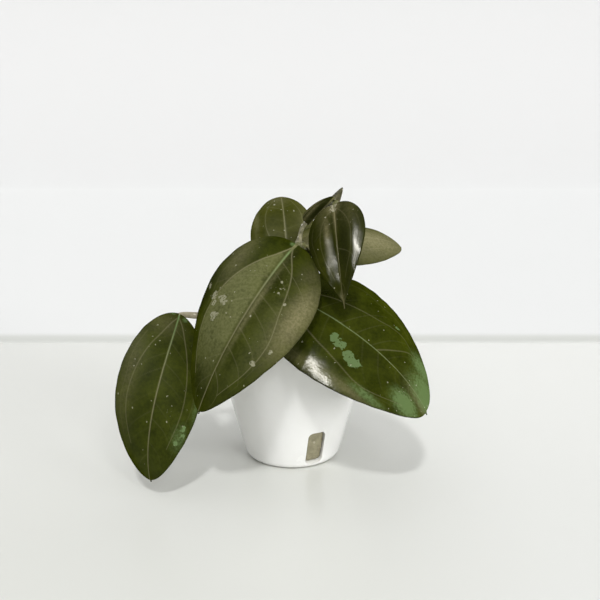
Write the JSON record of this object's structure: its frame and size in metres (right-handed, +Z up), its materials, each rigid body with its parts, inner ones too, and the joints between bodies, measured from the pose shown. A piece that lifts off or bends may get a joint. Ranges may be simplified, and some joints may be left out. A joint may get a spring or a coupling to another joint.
{
  "type": "potted hoya",
  "caption": "A hoya cutting with thick oval leaves on a short jointed vine, rooted in bark mix in a small tapered white pot with drainage slots",
  "frame": {"origin": "on the pot's axis, in the plane of its foot", "axes": "+Z up along the pot's axis; -Y towards the viewer, the side over which the two largest leaves hang; +X to the viewer's right"},
  "size_m": [0.1442, 0.1211, 0.1346],
  "materials": {
    "pot_glaze": "smooth, glossy white",
    "bark_mix": "moist bark chips and soil",
    "stem_skin": "olive-grey bark, a little flecked",
    "shoot_skin": "taupe bark",
    "leaf": "waxy dark olive, semi-gloss, with silver flecks and pale green splashes",
    "old_leaf": "waxy dull olive, satin",
    "young_leaf": "very dark olive, glossy"
  },
  "bodies": {
    "root": {"pot": "pot_glaze", "growing_medium": "bark_mix", "vine_stem": "stem_skin", "side_shoot": "shoot_skin", "leaf_low_left": "leaf", "leaf_front_left": "leaf", "leaf_front_right": "leaf", "leaf_back_left": "old_leaf", "leaf_back_right": "old_leaf", "leaf_top_front": "young_leaf", "leaf_top_back": "young_leaf"}
  },
  "joints": []
}
